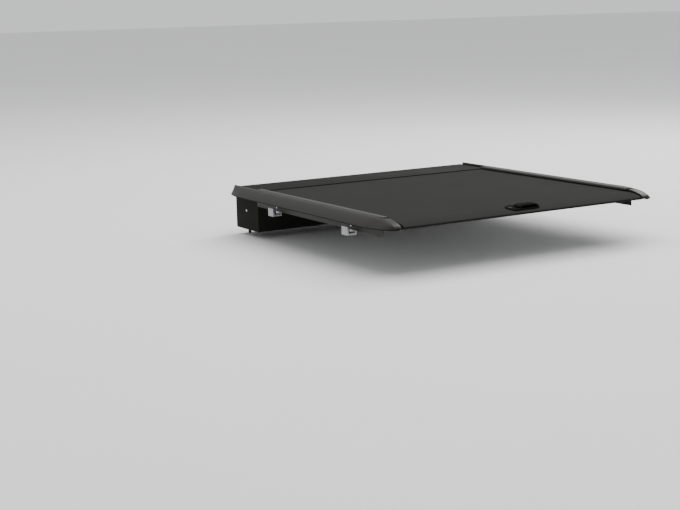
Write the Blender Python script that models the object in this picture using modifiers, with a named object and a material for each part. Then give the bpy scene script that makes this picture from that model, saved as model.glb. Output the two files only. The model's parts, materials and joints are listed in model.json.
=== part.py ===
"""Roller tonneau cover for a dual-cab pickup bed.

A vinyl-covered slat curtain runs in two guide rails and winds into a canister at the cab end. Its
tail bar carries a lift handle, a key lock and two spring-loaded latch rods. Wide caps cover the bed
sides beside the rails, and clamps hold the rails to the bed flanges.

Frame: +X to the truck's right, +Y forward to the cab, +Z up. The origin is at the middle of the
cover, on the plane of the bed rails that it sits on. Units are metres.
"""

import math

import bmesh
import bpy
from mathutils import Vector

# Driving dimensions
LENGTH = 1.540                  # canister front to tail edge
CURTAIN_HALF = 0.690            # centre line to the lip of a guide rail
COVER_Z = 0.018                 # top of the vinyl skin above the bed rails
CAP_OUTER = 0.808               # centre line to the outer edge of a bed cap
GAP = 0.0003                    # between pieces that touch

FRONT_Y = LENGTH / 2
TAIL_Y = -LENGTH / 2
SIDES = (("left", -1), ("right", 1))

# Curtain
SKIN_THICK = 0.0015
SLAT_THICK = 0.0080
SLAT_WALL = 0.0010
SLAT_TOP = COVER_Z - SKIN_THICK - GAP
SLAT_BOTTOM = SLAT_TOP - SLAT_THICK
SLAT_HALF = 0.711
PANELS = 10
SLATS_PER_PANEL = 3
CURTAIN_START_Y = -0.6095       # at the tail bar
CURTAIN_END_Y = 0.6400          # inside the canister
PANEL_PITCH = (CURTAIN_END_Y - CURTAIN_START_Y) / PANELS
PANEL_GAP = 0.0006
FILM_THICK = 0.0010             # living hinge between two slats of a panel
FILM_GAP = 0.0014

# Guide rails
LIP_THICK = 0.0035
NOSE_DEPTH = 0.0095             # the lip's inner edge turns down towards the curtain
NOSE_SLOPE = 0.0070             # and falls back as it does
NOSE_SHOULDER = (0.00245, 0.0021)
NOSE_BLUNT = 0.0015
RAIL_TOP = COVER_Z + 0.0150
WEB_INNER = 0.7225
WEB_OUTER = 0.7260
FLANGE_OUTER = 0.7650
FLANGE_THICK = 0.0030
FLANGE_CLEAR = 0.0010           # between the flange and the end cap that laps it
LEG_BOTTOM = -0.0550
SHELF_TOP = 0.0047
SHELF_BOTTOM = 0.0018
RAIL_START_Y = -0.6600
RAIL_END_Y = 0.5145

# Bed caps
CAP_INNER = 0.7275
CAP_FOOT_Z = 0.0035             # its inner wall stands just above the flange
CAP_WALL = 0.0030
RIDGE_X = 0.7345
RIDGE_Z = COVER_Z + 0.0160
CREASE_SHARE = 0.30             # of the width from ridge to outer edge
UPPER_FALL = 0.0065             # ridge down to crease
EDGE_ROLL = 0.0050
GASKET_THICK = 0.0037
GASKET_WIDTH = 0.0120
GASKET_PROUD = 0.0015           # beyond the cap's outer edge
FOOT_SINK = 0.0080              # the outer edge laps down over the bed side's rounded shoulder
FOOT_DROP = 0.0040              # and a little further at the tail
FRONT_CURVE_Y = 0.5200
FRONT_TIP_Y = 0.7400
FRONT_TIP_X = 0.7385
CORNER_START_Y = -0.6000
TAIL_TIP_X = 0.7200
TIP_WIDTH = 0.0040

# Tail: the cover's rear edge falls on a quarter ellipse, and so do the caps beside it
CURVE_START_Y = RAIL_START_Y
CURVE_LENGTH = CURVE_START_Y - TAIL_Y
CURVE_DROP = 0.0240
CAP_FALL_START_Y = -0.5800
CAP_FALL_LENGTH = CAP_FALL_START_Y - TAIL_Y
CAP_FALL_DROP = 0.0400
CORNER_INNER = 0.6980           # the end cap's inner edge behind the rail
LEDGE_INNER = 0.6865
LEDGE_THICK = 0.0030
TAIL_END_Y = TAIL_Y + 0.0020    # rear edge of the bar, in front of the seal's face
CAP_END_Y = TAIL_Y + 0.0002

# Tail bar and latch
BAR_HALF = 0.6860
BAR_FRONT_Y = CURTAIN_START_Y - PANEL_GAP
BAR_PLATE = 0.0020
BAR_FLANGE_BOTTOM = -0.0040
SEAL_HEIGHT = 0.0060
ROD_Y = -0.6360
ROD_Z = 0.0115
ROD_RADIUS = 0.0030
ROD_INNER = 0.0110
ROD_TIP = 0.7215
COLLAR_X = 0.6400
TONGUE_INNER = 0.6800
TONGUE_TIP = 0.7120
TONGUE_GAP = 0.0070

# Handle, in its own frame: origin on the bar's surface, tilted with it
HANDLE_Y = -0.7160
HANDLE_HALF_LENGTH = 0.0880
HANDLE_HALF_WIDTH = 0.0350
HOUSING_BOTTOM = -0.0210
BEZEL_TOP = 0.0040
BEZEL_EDGE = 0.0030
POCKET_FLOOR = -0.0180
POCKET_LEFT = -0.0200
POCKET_RIGHT = 0.0670
POCKET_REAR = -0.0330
POCKET_FRONT = 0.0100
LEVER_X = 0.0235
LEVER_HALF_LENGTH = 0.0625
LEVER_HALF_WIDTH = 0.0340
LEVER_TOP = 0.0120
NOTCH_FRONT = -0.0100           # the notch in the lever's rear edge opens the pocket to the fingers
LOCK_X = -0.0700
LOCK_RADIUS = 0.0085
LOCK_TOP = 0.0055
LOCK_DEPTH = 0.0180
CAM_RADIUS = 0.0125
CAM_THICK = 0.0040

# Canister
LID_REAR_Y = 0.5150
LID_FRONT_Y = 0.7620
LID_TOP = COVER_Z + 0.0045
LID_THICK = 0.0030
LID_HALF = 0.7265
TRAY_REAR_Y = 0.5155
TRAY_BOTTOM = -0.1900
TRAY_WALL = 0.0020
TRAY_HALF = 0.7120
END_PLATE_INNER = 0.7125
END_PLATE_OUTER = 0.7225
DRAIN = (0.6600, 0.7350)

# Roller
ROLLER_Y = 0.6450
ROLLER_Z = -0.0920
TUBE_RADIUS = 0.0300
TUBE_WALL = 0.0020
TUBE_HALF = 0.7000
AXLE_RADIUS = 0.0060
LEADER_THICK = 0.0015

# Rail clamps
CLAMP_YS = (("rear", -0.4000), ("front", 0.3000))
CLAMP_HALF = 0.0250
CLAMP_WALL = 0.0060
CLAMP_BASE = 0.0080
CLAMP_TOP = -0.0120
CLAMP_BOLT_Z = -0.0350
CLAMP_THROAT_OUTER = 0.7570
CLAMP_OUTER = 0.7650
CLAMP_PAD_Z = -0.0350
CLAMP_BOTTOM = -0.0750
BOLT_RADIUS = 0.0040
BOLT_HEAD_RADIUS = 0.0065
BOLT_HEAD = 0.0050

# Finishes: colour, roughness, metallic
VINYL = ("vinyl_skin", (0.055, 0.055, 0.052), 0.75, 0.0)
COATED = ("coated_aluminium", (0.045, 0.046, 0.043), 0.55, 0.3)
ALUMINIUM = ("bare_aluminium", (0.62, 0.62, 0.63), 0.40, 1.0)
CAP_PLASTIC = ("cap_plastic", (0.060, 0.060, 0.055), 0.65, 0.0)
HANDLE_PLASTIC = ("handle_plastic", (0.012, 0.012, 0.011), 0.40, 0.0)
RUBBER = ("seal_rubber", (0.010, 0.010, 0.010), 0.80, 0.0)
STEEL = ("zinc_steel", (0.55, 0.55, 0.54), 0.35, 1.0)
NYLON = ("slide_nylon", (0.030, 0.030, 0.030), 0.50, 0.0)


def clear_scene():
    for item in list(bpy.data.objects):
        bpy.data.objects.remove(item, do_unlink=True)


def make_collection(name):
    collection = bpy.data.collections.new(name)
    bpy.context.scene.collection.children.link(collection)
    return collection


def add_object(name, mesh, finish, collection=None):
    item = bpy.data.objects.new(name, mesh)
    (collection or PARTS).objects.link(item)
    label, colour, roughness, metallic = finish
    material = bpy.data.materials.new(f"{name}_{label}")
    material.use_nodes = True
    shader = material.node_tree.nodes["Principled BSDF"]
    shader.inputs["Base Color"].default_value = (*colour, 1.0)
    shader.inputs["Roughness"].default_value = roughness
    shader.inputs["Metallic"].default_value = metallic
    mesh.materials.append(material)
    return item


def mesh_from(name, bm):
    bmesh.ops.recalc_face_normals(bm, faces=bm.faces)
    mesh = bpy.data.meshes.new(name)
    bm.to_mesh(mesh)
    bm.free()
    return mesh


def along_x(u, v, w):
    return Vector((w, u, v))


def along_y(u, v, w):
    return Vector((u, w, v))


def along_z(u, v, w):
    return Vector((u, v, w))


def prism(name, loops, place, start, end, finish, collection=None):
    """Fills the outline loops, holes included, and extrudes them from start to end."""
    bm = bmesh.new()
    edges = []
    for loop in loops:
        verts = [bm.verts.new(place(u, v, start)) for u, v in loop]
        edges += [bm.edges.new((verts[i - 1], verts[i])) for i in range(len(verts))]
    filled = bmesh.ops.triangle_fill(bm, edges=edges, use_beauty=True)
    faces = [part for part in filled["geom"] if isinstance(part, bmesh.types.BMFace)]
    moved = bmesh.ops.extrude_face_region(bm, geom=faces)
    verts = [part for part in moved["geom"] if isinstance(part, bmesh.types.BMVert)]
    bmesh.ops.translate(bm, verts=verts, vec=place(0, 0, end) - place(0, 0, start))
    return add_object(name, mesh_from(name, bm), finish, collection)


def loft(name, sections, finish, collection=None):
    """Skins a closed body over sections that have the same number of points."""
    bm = bmesh.new()
    rings = [[bm.verts.new(point) for point in section] for section in sections]
    count = len(rings[0])
    for near, far in zip(rings, rings[1:]):
        for i in range(count):
            bm.faces.new((near[i - 1], near[i], far[i], far[i - 1]))
    bm.faces.new(rings[0])
    bm.faces.new(rings[-1])
    return add_object(name, mesh_from(name, bm), finish, collection)


def box(name, low, high, finish, collection=None):
    bm = bmesh.new()
    bmesh.ops.create_cube(bm, size=1.0)
    size = Vector(high) - Vector(low)
    bmesh.ops.scale(bm, verts=bm.verts, vec=size)
    bmesh.ops.translate(bm, verts=bm.verts, vec=(Vector(low) + Vector(high)) / 2)
    return add_object(name, mesh_from(name, bm), finish, collection)


def cylinder(name, centre, radius, depth, axis, finish, collection=None, sides=32):
    bm = bmesh.new()
    bmesh.ops.create_cone(bm, cap_ends=True, segments=sides, radius1=radius, radius2=radius, depth=depth)
    turn = Vector((0, 0, 1)).rotation_difference(Vector(axis)).to_matrix()
    bmesh.ops.rotate(bm, verts=bm.verts, matrix=turn)
    bmesh.ops.translate(bm, verts=bm.verts, vec=Vector(centre))
    return add_object(name, mesh_from(name, bm), finish, collection)


def turned(name, profile, place, axis, finish, steps=32):
    """Turns a closed (radius, height) profile about its own axis, which then lies along axis."""
    mesh = bpy.data.meshes.new(name)
    count = len(profile)
    edges = [(i, (i + 1) % count) for i in range(count)]
    mesh.from_pydata([(radius, 0, height) for radius, height in profile], edges, [])
    item = add_object(name, mesh, finish)
    screw = item.modifiers.new("turn", "SCREW")
    screw.axis = "Z"
    screw.steps = steps
    screw.render_steps = steps
    screw.use_merge_vertices = True
    screw.merge_threshold = 0.00001
    item.location = place
    item.rotation_euler = Vector((0, 0, 1)).rotation_difference(Vector(axis)).to_euler()
    return item


def coil(name, start, length, radius, wire, turns, finish):
    """A helical spring along +X from start."""
    steps = 9
    curve = bpy.data.curves.new(name, "CURVE")
    curve.dimensions = "3D"
    curve.bevel_depth = wire / 2
    curve.bevel_resolution = 1
    curve.use_fill_caps = True
    spline = curve.splines.new("POLY")
    spline.points.add(turns * steps)
    for i, point in enumerate(spline.points):
        angle = 2 * math.pi * i / steps
        x = length * i / (turns * steps)
        point.co = (x, radius * math.cos(angle), radius * math.sin(angle), 1)
    item = add_object(name, curve, finish)
    item.location = start
    return item


def combine(item, other, operation):
    boolean = item.modifiers.new(operation.lower(), "BOOLEAN")
    boolean.operation = operation
    boolean.solver = "EXACT"
    boolean.object = other
    other.hide_render = True
    other.display_type = "WIRE"


def soften(item, width, segments=2):
    bevel = item.modifiers.new("soften", "BEVEL")
    bevel.width = width
    bevel.segments = segments
    bevel.limit_method = "ANGLE"
    bevel.angle_limit = math.radians(40)


def stadium(centre_x, centre_y, half_length, half_width, steps=12):
    """A flat outline with two round ends, long side along X."""
    points = []
    straight = half_length - half_width
    for end in (1, -1):
        for i in range(steps + 1):
            angle = math.pi * i / steps - math.pi / 2
            x = centre_x + end * (straight + half_width * math.cos(angle))
            points.append((x, centre_y + end * half_width * math.sin(angle)))
    return points


def tail_share(y):
    return min(1.0, max(0.0, (CURVE_START_Y - y) / CURVE_LENGTH))


def tail_fall(y):
    """How far the cover's surface has dropped at y, behind the start of the tail curve."""
    return CURVE_DROP * (1 - math.sqrt(1 - tail_share(y) ** 2))


def cap_fall(y):
    """How far the ridge of the bed cap has dropped at y."""
    share = min(1.0, max(0.0, (CAP_FALL_START_Y - y) / CAP_FALL_LENGTH))
    return CAP_FALL_DROP * (1 - math.sqrt(1 - share ** 2))


def corner_share(y):
    return min(1.0, max(0.0, (CORNER_START_Y - y) / (CORNER_START_Y - TAIL_Y)))


def front_share(y):
    return min(1.0, max(0.0, (y - FRONT_CURVE_Y) / (FRONT_TIP_Y - FRONT_CURVE_Y)))


def make_handle_frame():
    """An empty on the tail bar's surface, tilted with its slope, that carries the handle's pieces."""
    share = (CURVE_START_Y - HANDLE_Y) / CURVE_LENGTH
    slope = CURVE_DROP / CURVE_LENGTH * share / math.sqrt(1 - share ** 2)
    empty = bpy.data.objects.new("handle_frame", None)
    PARTS.objects.link(empty)
    empty.location = (0, HANDLE_Y, COVER_Z - tail_fall(HANDLE_Y))
    empty.rotation_euler = (math.atan(slope), 0, 0)
    return empty


def cap_edge(y):
    """Outer edge of the bed cap in plan: straight, with an elliptic corner at each end."""
    share = max(corner_share(y), front_share(y))
    narrow = TAIL_TIP_X if y < CORNER_START_Y else FRONT_TIP_X
    return narrow + (CAP_OUTER - narrow) * math.sqrt(1 - share ** 2)


def gasket_height(y):
    return -FOOT_SINK - FOOT_DROP * corner_share(y) ** 2


def foot_height(y):
    return gasket_height(y) + GASKET_THICK + GAP


def cap_curve(y, inner=CAP_INNER, inset=0.0):
    """Top of the bed cap from its inner wall to its outer foot, as (x, z) points."""
    edge = cap_edge(y) - inset
    foot = foot_height(y)
    ridge = RIDGE_Z - cap_fall(y) - inset
    ridge_x = min(RIDGE_X, edge - TIP_WIDTH)
    crease_x = ridge_x + (edge - ridge_x) * CREASE_SHARE
    crease_z = ridge - UPPER_FALL * (edge - ridge_x) / (CAP_OUTER - RIDGE_X)
    lip = min(EDGE_ROLL, (ridge - foot) / 2)
    points = [(inner + inset, ridge - lip), (inner + inset + 0.3 * lip, ridge - 0.3 * lip)]
    steps = 5
    for i in range(steps + 1):
        share = i / steps
        drop = (ridge - crease_z) * share ** 1.5
        points.append((ridge_x + (crease_x - ridge_x) * share, ridge - drop))
    for i in range(1, steps + 1):
        share = i / steps
        drop = (crease_z - foot) * (0.8 * share + 0.2 * share ** 2)
        points.append((crease_x + (edge - crease_x) * share, crease_z - drop))
    return points


def make_guide_rail(side, sign):
    outline = [
        (CURTAIN_HALF, RAIL_TOP - NOSE_DEPTH),
        (CURTAIN_HALF + LIP_THICK, RAIL_TOP - NOSE_DEPTH),
        (CURTAIN_HALF + NOSE_SLOPE + 0.0010, RAIL_TOP - LIP_THICK),
        (WEB_INNER, RAIL_TOP - LIP_THICK),
        (WEB_INNER, SHELF_TOP),
        (CURTAIN_HALF, SHELF_TOP),
        (CURTAIN_HALF, SHELF_BOTTOM),
        (WEB_INNER, SHELF_BOTTOM),
        (WEB_INNER, LEG_BOTTOM),
        (WEB_OUTER, LEG_BOTTOM),
        (WEB_OUTER, 0.0),
        (FLANGE_OUTER, 0.0),
        (FLANGE_OUTER, FLANGE_THICK),
        (WEB_OUTER, FLANGE_THICK),
        (WEB_OUTER, RAIL_TOP),
        (CURTAIN_HALF + NOSE_SLOPE, RAIL_TOP),
        (CURTAIN_HALF + NOSE_SHOULDER[0], RAIL_TOP - NOSE_SHOULDER[1]),
        (CURTAIN_HALF, RAIL_TOP - NOSE_DEPTH + NOSE_BLUNT),
    ]
    loop = [(sign * x, z) for x, z in outline]
    rail = prism(f"guide_rail_{side}", [loop], along_y, RAIL_START_Y, RAIL_END_Y, COATED)
    for place, y in CLAMP_YS:
        centre = (sign * WEB_OUTER, y, CLAMP_BOLT_Z)
        hole = cylinder(f"rail_hole_{side}_{place}", centre, BOLT_RADIUS + GAP, 0.02, (1, 0, 0),
                        STEEL, CUTTERS)
        combine(rail, hole, "DIFFERENCE")


def make_slide_strip(side, sign):
    xs = sorted((sign * (CURTAIN_HALF + 0.001), sign * (WEB_INNER - GAP)))
    low = (xs[0], RAIL_START_Y + 0.002, SHELF_TOP + GAP)
    high = (xs[1], RAIL_END_Y - 0.002, SLAT_BOTTOM - GAP)
    box(f"slide_strip_{side}", low, high, NYLON)


def make_bed_cap(side, sign):
    y = 0.0
    outer = [(CAP_INNER, CAP_FOOT_Z)] + cap_curve(y)
    inner = [(CAP_INNER + CAP_WALL, CAP_FOOT_Z)] + cap_curve(y, inset=CAP_WALL)
    inner[-1] = (outer[-1][0] - CAP_WALL * 1.5, outer[-1][1])
    loop = [(sign * x, z) for x, z in outer + inner[::-1]]
    prism(f"bed_cap_{side}", [loop], along_y, CAP_FALL_START_Y, FRONT_CURVE_Y, CAP_PLASTIC)


def make_rear_end_cap(side, sign):
    """The cap's fall beside the rail, and behind the rail's end the corner that turns in to the tail."""
    steps = 10
    reach = CAP_FALL_START_Y - GAP - RAIL_START_Y
    beside = [CAP_FALL_START_Y - GAP - reach * i / 4 for i in range(5)]
    start = RAIL_START_Y - 0.0010
    reach = start - CAP_END_Y
    corner = [start - reach * math.sin(math.pi / 2 * i / steps) for i in range(steps + 1)]
    sections = []
    for y in beside + corner:
        inner = CAP_INNER if y in beside else CORNER_INNER
        foot = foot_height(y)
        low = FLANGE_THICK + FLANGE_CLEAR if y in beside else foot
        step_x = min(FLANGE_OUTER + FLANGE_CLEAR, cap_edge(y) - CAP_WALL)
        outline = [(step_x, foot), (step_x, low), (inner, low)] + cap_curve(y, inner)
        sections.append([(sign * x, y, z) for x, z in outline])
    cap = loft(f"rear_end_cap_{side}", sections, CAP_PLASTIC)
    sections = []
    for y in corner:
        foot = foot_height(y)
        outline = ((LEDGE_INNER, foot), (LEDGE_INNER, foot + LEDGE_THICK),
                   (CORNER_INNER + 0.002, foot + LEDGE_THICK), (CORNER_INNER + 0.002, foot))
        sections.append([(sign * x, y, z) for x, z in outline])
    ledge = loft(f"ledge_{side}", sections, CAP_PLASTIC, CUTTERS)
    combine(cap, ledge, "UNION")


def make_front_corner_cap(side, sign):
    sections = []
    steps = 10
    for i in range(steps + 1):
        share = math.sin(math.pi / 2 * i / steps)
        y = FRONT_CURVE_Y + GAP + (FRONT_TIP_Y - FRONT_CURVE_Y - GAP) * share
        outline = [(CAP_INNER, foot_height(y))] + cap_curve(y)
        sections.append([(sign * x, y, z) for x, z in outline])
    loft(f"front_corner_cap_{side}", sections, CAP_PLASTIC)


def make_cap_gasket(side, sign):
    """A rubber strip under the cap's outer edge, from corner to corner."""
    ends = 10
    reach = CORNER_START_Y - TAIL_Y
    rear = [CORNER_START_Y - reach * math.sin(math.pi / 2 * i / ends) for i in range(ends, 0, -1)]
    reach = FRONT_TIP_Y - FRONT_CURVE_Y
    front = [FRONT_CURVE_Y + reach * math.sin(math.pi / 2 * i / ends) for i in range(1, ends + 1)]
    sections = []
    for y in rear + [CORNER_START_Y, FRONT_CURVE_Y] + front:
        outer = cap_edge(y) + GASKET_PROUD
        inner = outer - GASKET_WIDTH
        low = gasket_height(y)
        high = low + GASKET_THICK
        outline = ((inner, low), (outer, low), (outer, high), (inner, high))
        sections.append([(sign * x, y, z) for x, z in outline])
    loft(f"cap_gasket_{side}", sections, RUBBER)


def make_rail_clamp(side, sign, place, y):
    """A U-shaped jaw under the bed flange, and the bolt that draws it to the rail's leg."""
    inner = WEB_INNER - GAP
    outline = [
        (inner - CLAMP_WALL, CLAMP_TOP),
        (inner, CLAMP_TOP),
        (inner, CLAMP_BOTTOM + CLAMP_BASE),
        (CLAMP_THROAT_OUTER, CLAMP_BOTTOM + CLAMP_BASE),
        (CLAMP_THROAT_OUTER, CLAMP_PAD_Z),
        (CLAMP_OUTER, CLAMP_PAD_Z),
        (CLAMP_OUTER, CLAMP_BOTTOM),
        (inner - CLAMP_WALL, CLAMP_BOTTOM),
    ]
    loop = [(sign * x, z) for x, z in outline]
    clamp = prism(f"rail_clamp_{side}_{place}", [loop], along_y, y - CLAMP_HALF, y + CLAMP_HALF,
                  ALUMINIUM)
    centre = (sign * inner, y, CLAMP_BOLT_Z)
    hole = cylinder(f"clamp_hole_{side}_{place}", centre, BOLT_RADIUS + GAP, 0.03, (1, 0, 0),
                    STEEL, CUTTERS)
    combine(clamp, hole, "DIFFERENCE")
    head = inner - CLAMP_WALL - GAP
    bolt = cylinder(f"clamp_bolt_{side}_{place}", (sign * (head - BOLT_HEAD / 2), y, CLAMP_BOLT_Z),
                    BOLT_HEAD_RADIUS, BOLT_HEAD, (1, 0, 0), STEEL, sides=6)
    shank_end = WEB_OUTER + 0.004
    shank = cylinder(f"clamp_shank_{side}_{place}", (sign * (head + shank_end) / 2, y, CLAMP_BOLT_Z),
                     BOLT_RADIUS, shank_end - head + 0.002, (1, 0, 0), STEEL, CUTTERS, 24)
    combine(bolt, shank, "UNION")


def make_slat_panel(index):
    """Hollow slats side by side, joined along their tops by thin living hinges."""
    start = CURTAIN_START_Y + index * PANEL_PITCH
    end = start + PANEL_PITCH - PANEL_GAP
    pitch = (end - start + FILM_GAP) / SLATS_PER_PANEL
    outline = [(start, SLAT_TOP)]
    hollows = []
    for slat in range(SLATS_PER_PANEL):
        near = start + slat * pitch
        far = near + pitch - FILM_GAP
        outline += [(near, SLAT_BOTTOM), (far, SLAT_BOTTOM)]
        if slat < SLATS_PER_PANEL - 1:
            hinge = SLAT_TOP - FILM_THICK
            outline += [(far, hinge), (far + FILM_GAP, hinge)]
        low = SLAT_BOTTOM + SLAT_WALL
        high = SLAT_TOP - SLAT_WALL
        near_wall = near + SLAT_WALL
        far_wall = far - SLAT_WALL
        hollows.append([(near_wall, low), (far_wall, low), (far_wall, high), (near_wall, high)])
    outline.append((end, SLAT_TOP))
    name = f"slat_panel_{index + 1:02d}"
    prism(name, [outline] + hollows, along_x, -SLAT_HALF, SLAT_HALF, ALUMINIUM)


def make_vinyl_skin():
    half = SLAT_HALF - 0.003
    low = (-half, CURTAIN_START_Y, COVER_Z - SKIN_THICK)
    high = (half, CURTAIN_END_Y, COVER_Z)
    box("vinyl_skin", low, high, VINYL)


def make_curtain_leader():
    """Webbing from the last slat down to the roller, with one turn wound on."""
    inner = TUBE_RADIUS + GAP
    centre_line = [(CURTAIN_END_Y + 0.001, SLAT_TOP - 0.003)]
    last = math.radians(35)
    steps = 36
    for i in range(steps + 1):
        share = i / steps
        angle = last - math.radians(360) * share
        radius = inner + LEADER_THICK / 2 + 0.0022 * (1 - share)
        centre_line.append((ROLLER_Y + radius * math.cos(angle), ROLLER_Z + radius * math.sin(angle)))
    bend = (ROLLER_Y + 0.030, SLAT_TOP - 0.030)
    centre_line.insert(1, bend)
    left, right = [], []
    for i, point in enumerate(centre_line):
        before = Vector(centre_line[max(i - 1, 0)])
        after = Vector(centre_line[min(i + 1, len(centre_line) - 1)])
        heading = (after - before).normalized()
        side = Vector((-heading.y, heading.x)) * LEADER_THICK / 2
        left.append(tuple(Vector(point) + side))
        right.append(tuple(Vector(point) - side))
    prism("curtain_leader", [left + right[::-1]], along_x, -TUBE_HALF + 0.02, TUBE_HALF - 0.02, VINYL)


def make_tail_bar():
    steps = 12
    curve = [CURVE_START_Y + (TAIL_END_Y - CURVE_START_Y) * math.sin(math.pi / 2 * i / steps)
             for i in range(1, steps + 1)]
    top = [(BAR_FRONT_Y, COVER_Z), (CURVE_START_Y, COVER_Z)]
    top += [(y, COVER_Z - tail_fall(y)) for y in curve]
    under = [(y + BAR_PLATE * tail_share(y), COVER_Z - tail_fall(y) - BAR_PLATE) for y in reversed(curve)]
    under.append((CURVE_START_Y, COVER_Z - BAR_PLATE))
    flange_y = BAR_FRONT_Y - 0.0025
    flange = [(flange_y, COVER_Z - BAR_PLATE), (flange_y, BAR_FLANGE_BOTTOM),
              (BAR_FRONT_Y, BAR_FLANGE_BOTTOM)]
    bar = prism("tail_bar", [top + under + flange], along_x, -BAR_HALF, BAR_HALF, COATED)
    slot = prism("handle_slot", [stadium(0, 0, HANDLE_HALF_LENGTH + GAP, HANDLE_HALF_WIDTH + GAP)],
                 along_z, -0.05, 0.05, COATED, CUTTERS)
    slot.parent = HANDLE_FRAME
    combine(bar, slot, "DIFFERENCE")
    halves = ((RAIL_START_Y + 0.005, ROD_Y - TONGUE_GAP / 2), (ROD_Y + TONGUE_GAP / 2, BAR_FRONT_Y - 0.0005))
    for side, sign in SIDES:
        for i, (start, end) in enumerate(halves):
            xs = sorted((sign * TONGUE_INNER, sign * TONGUE_TIP))
            tongue = box(f"tongue_{side}_{i}", (xs[0], start, SLAT_BOTTOM), (xs[1], end, SLAT_TOP), COATED,
                         CUTTERS)
            combine(bar, tongue, "UNION")


def make_tail_seal():
    high = COVER_Z - tail_fall(TAIL_END_Y) - BAR_PLATE - GAP
    low = high - SEAL_HEIGHT
    loop = [(TAIL_Y, low + 0.001), (TAIL_Y + 0.002, low), (TAIL_Y + 0.009, low), (TAIL_Y + 0.010, high),
            (TAIL_Y, high)]
    prism("tail_seal", [loop], along_x, -BAR_HALF, BAR_HALF, RUBBER)


def make_latch_rod(side, sign):
    """A rod that reaches into the rail's channel, with the collar its spring pushes on."""
    centre = (sign * (ROD_INNER + ROD_TIP) / 2, ROD_Y, ROD_Z)
    rod = cylinder(f"latch_rod_{side}", centre, ROD_RADIUS, ROD_TIP - ROD_INNER, (1, 0, 0), STEEL, sides=20)
    collar = cylinder(f"collar_{side}", (sign * COLLAR_X, ROD_Y, ROD_Z), 0.0042, 0.004, (1, 0, 0), STEEL,
                      CUTTERS, 20)
    combine(rod, collar, "UNION")


def make_latch_spring(side, sign):
    wire = 0.0008
    ends = sorted((sign * (COLLAR_X + 0.002 + wire), sign * (TONGUE_INNER - wire)))
    start = (ends[0], ROD_Y, ROD_Z)
    coil(f"latch_spring_{side}", start, ends[1] - ends[0], ROD_RADIUS + GAP + wire / 2, wire, 7, STEEL)


def make_handle():
    """The housing in the bar, the lever that lifts at its rear edge, the key lock and the rods' cam."""
    body = prism("handle_housing", [stadium(0, 0, HANDLE_HALF_LENGTH, HANDLE_HALF_WIDTH)],
                 along_z, HOUSING_BOTTOM, BEZEL_TOP, HANDLE_PLASTIC)
    edge = stadium(0, 0, HANDLE_HALF_LENGTH + BEZEL_EDGE, HANDLE_HALF_WIDTH + BEZEL_EDGE)
    bezel = prism("bezel", [edge], along_z, -BEZEL_TOP, BEZEL_TOP, HANDLE_PLASTIC, CUTTERS)
    reach = HANDLE_HALF_WIDTH + 0.010
    steps = 12
    stations = [HANDLE_Y - reach + 2 * reach * i / steps for i in range(steps + 1)]
    seat = [(y, COVER_Z - tail_fall(y) + GAP) for y in stations]
    seat += [(stations[-1], HOUSING_BOTTOM), (stations[0], HOUSING_BOTTOM)]
    under = prism("bezel_seat", [seat], along_x, -0.1, 0.1, HANDLE_PLASTIC, CUTTERS)
    combine(bezel, under, "DIFFERENCE")
    combine(body, bezel, "UNION")
    pocket = box("finger_pocket", (POCKET_LEFT, POCKET_REAR, POCKET_FLOOR),
                 (POCKET_RIGHT, POCKET_FRONT, LEVER_TOP), HANDLE_PLASTIC, CUTTERS)
    combine(body, pocket, "DIFFERENCE")
    bore = cylinder("lock_bore", (LOCK_X, 0, LOCK_TOP), LOCK_RADIUS + GAP, 2 * (LOCK_DEPTH + GAP),
                    (0, 0, 1), HANDLE_PLASTIC, CUTTERS)
    combine(body, bore, "DIFFERENCE")

    lever = prism("handle_lever", [stadium(LEVER_X, 0, LEVER_HALF_LENGTH, LEVER_HALF_WIDTH)],
                  along_z, BEZEL_TOP + GAP, LEVER_TOP, HANDLE_PLASTIC)
    notch = box("finger_notch", (POCKET_LEFT, -0.05, 0.0), (POCKET_RIGHT, NOTCH_FRONT, 0.05),
                HANDLE_PLASTIC, CUTTERS)
    combine(lever, notch, "DIFFERENCE")
    soften(lever, 0.0025, 3)

    lock = cylinder("lock_cylinder", (LOCK_X, 0, LOCK_TOP - LOCK_DEPTH / 2), LOCK_RADIUS, LOCK_DEPTH,
                    (0, 0, 1), STEEL)
    keyway = box("keyway", (LOCK_X - 0.0006, -0.004, LOCK_TOP - 0.004), (LOCK_X + 0.0006, 0.004, 0.02),
                 STEEL, CUTTERS)
    combine(lock, keyway, "DIFFERENCE")
    for item in (body, bezel, pocket, bore, lever, notch, lock, keyway):
        item.parent = HANDLE_FRAME
    cam_top = ROD_Z - ROD_RADIUS - GAP
    cylinder("latch_cam", (0, ROD_Y, cam_top - CAM_THICK / 2), CAM_RADIUS, CAM_THICK, (0, 0, 1), STEEL)


def make_canister_lid():
    low = LID_TOP - LID_THICK
    outline = [
        (LID_REAR_Y, low),
        (LID_FRONT_Y - LID_THICK, low),
        (LID_FRONT_Y - LID_THICK, 0.0),
        (LID_FRONT_Y, 0.0),
        (LID_FRONT_Y, LID_TOP - 0.002),
        (LID_FRONT_Y - 0.002, LID_TOP),
        (LID_REAR_Y + 0.0015, LID_TOP),
        (LID_REAR_Y, LID_TOP - 0.0015),
    ]
    prism("canister_lid", [outline], along_x, -LID_HALF, LID_HALF, COATED)
    seal = [(LID_FRONT_Y + GAP, 0.008), (FRONT_Y - 0.002, 0.008), (FRONT_Y, 0.011), (FRONT_Y, 0.018),
            (FRONT_Y - 0.002, 0.021), (LID_FRONT_Y + GAP, 0.021)]
    prism("lid_front_seal", [seal], along_x, -LID_HALF, LID_HALF, RUBBER)
    box("mouth_wiper", (-CURTAIN_HALF, LID_REAR_Y + 0.002, COVER_Z + GAP),
        (CURTAIN_HALF, LID_REAR_Y + 0.010, low - GAP), RUBBER)


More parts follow.
